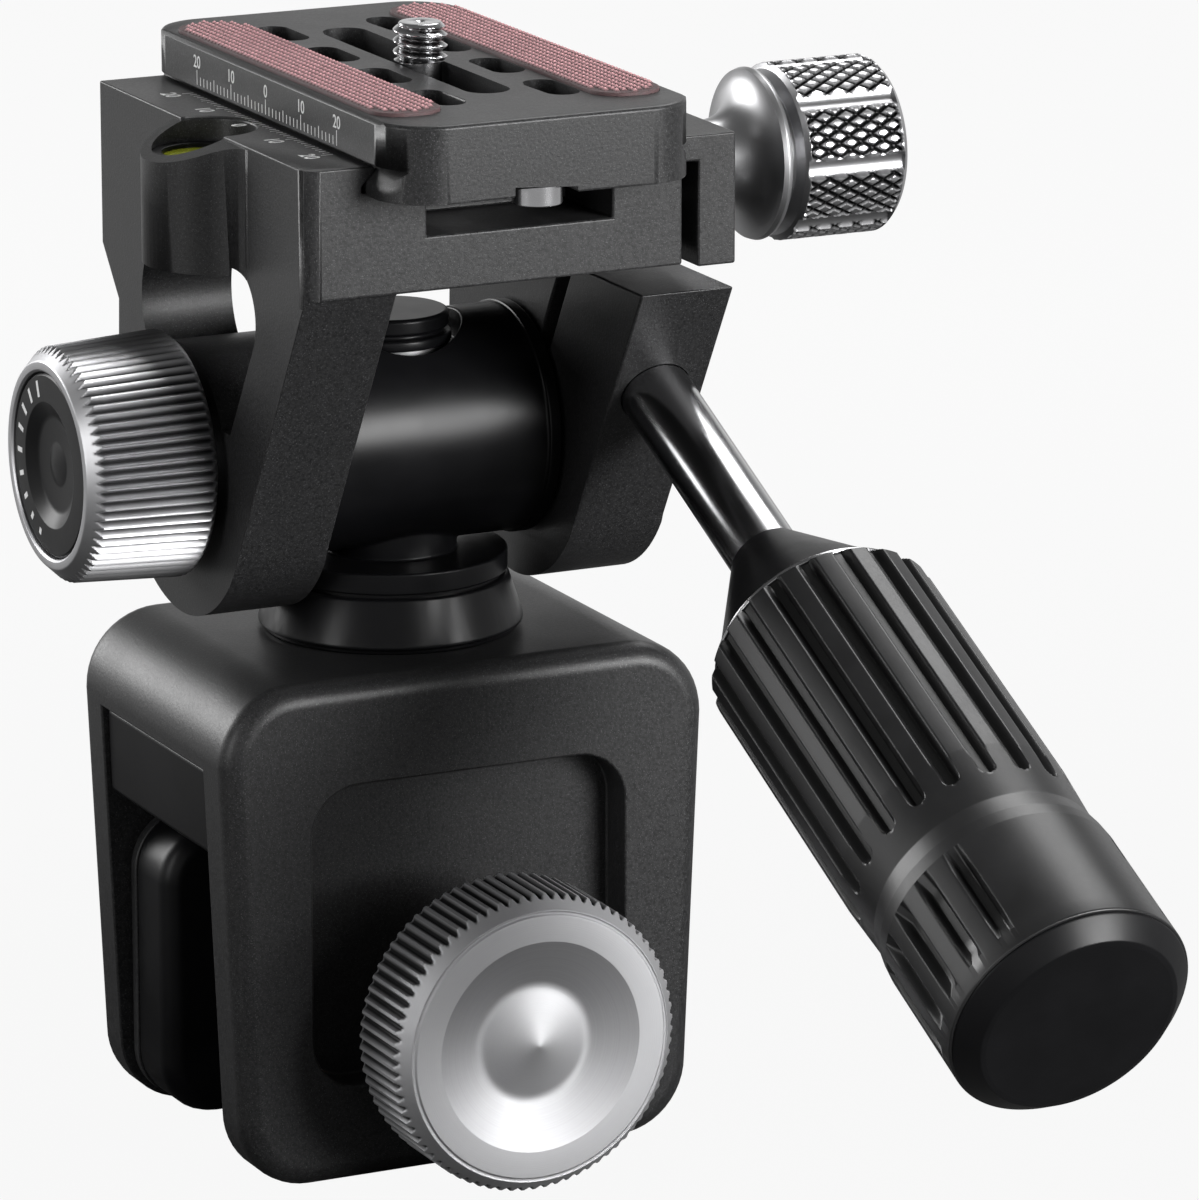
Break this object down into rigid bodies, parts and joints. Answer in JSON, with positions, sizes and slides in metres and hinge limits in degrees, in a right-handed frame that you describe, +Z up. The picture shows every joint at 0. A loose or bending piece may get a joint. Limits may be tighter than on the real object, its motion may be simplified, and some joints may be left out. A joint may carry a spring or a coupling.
{
  "type": "window mount head",
  "caption": "Clamp for the edge of a car window that carries a pan and tilt head with a steering handle, a quick-release plate, a level and a camera screw.",
  "frame": {"origin": "on the pan axis, on the face of the seat block that rests on the edge of the glass", "axes": "+X to the right along the tilt axis, +Y away from the user, across the glass, +Z up along the pan axis"},
  "size_m": [0.1028, 0.1601, 0.1348],
  "materials": {
    "black_anodised": "bead blasted, black anodised",
    "drum_black": "smooth, black anodised, semi-gloss",
    "black_rubber": "satin moulded",
    "black_plastic": "satin",
    "satin_silver": "turned, satin",
    "polished_steel": "polished",
    "plain_steel": "turned",
    "bearing_bronze": "turned",
    "bearing_plastic": "matte",
    "brick_rubber": "finely dimpled",
    "level_green": "clear, glossy"
  },
  "bodies": {
    "clamp": {"clamp_body": "black_anodised", "glass_edge_pad": "black_rubber", "rear_pad_plate": "black_anodised", "rear_jaw_pad": "black_rubber", "screw_bush": "bearing_bronze", "pan_base": "black_anodised", "pan_bolt": "plain_steel", "pan_thrust_washer": "bearing_plastic", "pan_cap_washer": "plain_steel", "pan_cap": "black_anodised"},
    "pressure_jaw": {"pressure_plate": "plain_steel", "pressure_pad": "black_rubber"},
    "clamp_screw": {"clamp_screw": "plain_steel", "clamp_knob": "satin_silver"},
    "pan_head": {"tilt_drum": "drum_black", "pan_bush": "bearing_bronze", "left_axle": "plain_steel", "right_axle": "plain_steel", "left_friction_disc": "bearing_plastic", "right_friction_disc": "bearing_plastic", "knob_washer": "plain_steel"},
    "friction_knob": {"friction_knob": "satin_silver", "friction_dial": "black_plastic"},
    "yoke": {"platform": "black_anodised", "left_arm_bush": "bearing_bronze", "right_arm_bush": "bearing_bronze", "axle_cap": "black_anodised", "level_vial": "level_green", "level_ring": "black_plastic"},
    "handle": {"handle_rod": "polished_steel", "grip_collar": "black_plastic", "grip": "black_rubber", "grip_end_cap": "black_rubber"},
    "jaw": {"jaw": "black_anodised", "jaw_guide_pins": "plain_steel"},
    "jaw_knob": {"jaw_screw": "plain_steel", "jaw_knob": "polished_steel"},
    "plate": {"quick_plate": "black_anodised", "grip_strips": "brick_rubber", "safety_screws": "polished_steel"},
    "screw_carriage": {"captive_washer": "plain_steel"},
    "camera_screw": {"camera_screw": "polished_steel"}
  },
  "joints": [
    {"name": "clamp_feed", "type": "slide", "parent": "clamp", "child": "pressure_jaw", "axis": [0, 1, 0], "range_m": [-0.0018, 0.0065]},
    {"name": "clamp_screw_turn", "type": "hinge", "parent": "pressure_jaw", "child": "clamp_screw", "pos_m": [0, -0.0352, -0.0197], "axis": [0, 1, 0], "range_deg": [-530, 1885]},
    {"name": "pan", "type": "hinge", "parent": "clamp", "child": "pan_head", "pos_m": [0, 0, 0.0277], "axis": [0, 0, 1], "continuous": true},
    {"name": "tilt", "type": "hinge", "parent": "pan_head", "child": "yoke", "pos_m": [0, 0, 0.04485], "axis": [1, 0, 0], "range_deg": [-80, 25]},
    {"name": "tilt_friction", "type": "hinge", "parent": "pan_head", "child": "friction_knob", "pos_m": [-0.0356, 0, 0.04485], "axis": [-1, 0, 0], "range_deg": [-135, 135]},
    {"name": "handle_twist", "type": "hinge", "parent": "yoke", "child": "handle", "pos_m": [0.02205, -0.02606, 0.05245], "axis": [0, -0.9063, -0.4226], "range_deg": [-30, 90]},
    {"name": "jaw_feed", "type": "slide", "parent": "yoke", "child": "jaw", "axis": [1, 0, 0], "range_m": [0, 0.004]},
    {"name": "jaw_knob_turn", "type": "hinge", "parent": "jaw", "child": "jaw_knob", "pos_m": [0.0435, -0.0079, 0.07535], "axis": [1, 0, 0], "range_deg": [-10, 1450]},
    {"name": "plate_slide", "type": "slide", "parent": "yoke", "child": "plate", "axis": [0, 1, 0], "range_m": [-0.0085, 0.0135]},
    {"name": "screw_slide", "type": "slide", "parent": "plate", "child": "screw_carriage", "axis": [0, 1, 0], "range_m": [-0.0142, 0.0175]},
    {"name": "camera_screw_turn", "type": "hinge", "parent": "screw_carriage", "child": "camera_screw", "pos_m": [0, -0.00945, 0.0923], "axis": [0, 0, 1], "continuous": true}
  ],
  "couplings": [
    {"joint": "clamp_screw_turn", "follows": "clamp_feed", "rad_per_m": 5026.5},
    {"joint": "jaw_knob_turn", "follows": "jaw_feed", "rad_per_m": 6283.2}
  ]
}
